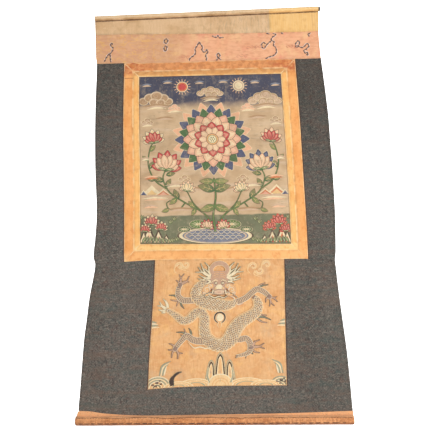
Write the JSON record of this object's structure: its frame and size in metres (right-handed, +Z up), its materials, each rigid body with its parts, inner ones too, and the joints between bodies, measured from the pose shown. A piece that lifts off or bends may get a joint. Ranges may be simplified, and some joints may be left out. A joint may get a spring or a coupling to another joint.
{
  "type": "hanging scroll",
  "caption": "Hanging scroll: a painting in a two-band silk border on dark brocade, with a silk heading folded over a batten, an embroidered dragon panel and a wrapped roller at the foot.",
  "frame": {"origin": "the middle of the scroll's top edge, where it is hung", "axes": "+Z up the scroll from the roller to the top edge, +X to the right as it is looked at, -Y out of the painted face"},
  "size_m": [0.807, 0.0278, 1.3418],
  "materials": {
    "dark_wood": "dark aged wood, matt",
    "beige_silk": "aged beige silk with a fine vertical rib and brown stains",
    "heading_yellow_silk": "aged yellow silk with soft worn patches",
    "cloud_silk": "peach damask with worn cloud embroidery",
    "dark_brocade": "charcoal brocade with a small fret pattern in dull colours",
    "orange_silk": "worn orange silk with a low sheen",
    "yellow_silk": "worn yellow silk with a low sheen",
    "painted_cloth": "aged mineral paint on cotton, matt",
    "embroidered_silk": "gold-orange silk with couched thread embroidery",
    "copper_silk": "copper-orange silk, worn at the edges"
  },
  "bodies": {
    "root": {"top_batten": "dark_wood", "heading_beige": "beige_silk", "heading_yellow": "heading_yellow_silk", "cloud_band": "cloud_silk", "side_strip_left": "dark_brocade", "side_strip_right": "dark_brocade", "border_outer_top": "orange_silk", "border_outer_left": "orange_silk", "border_outer_right": "orange_silk", "border_outer_foot": "orange_silk", "border_inner_top": "yellow_silk", "border_inner_left": "yellow_silk", "border_inner_right": "yellow_silk", "border_inner_foot": "yellow_silk", "painting": "painted_cloth", "dragon_panel": "embroidered_silk", "lower_panel_left": "dark_brocade", "lower_panel_middle": "dark_brocade", "lower_panel_right": "dark_brocade", "roller_wrap": "copper_silk"}
  },
  "joints": []
}
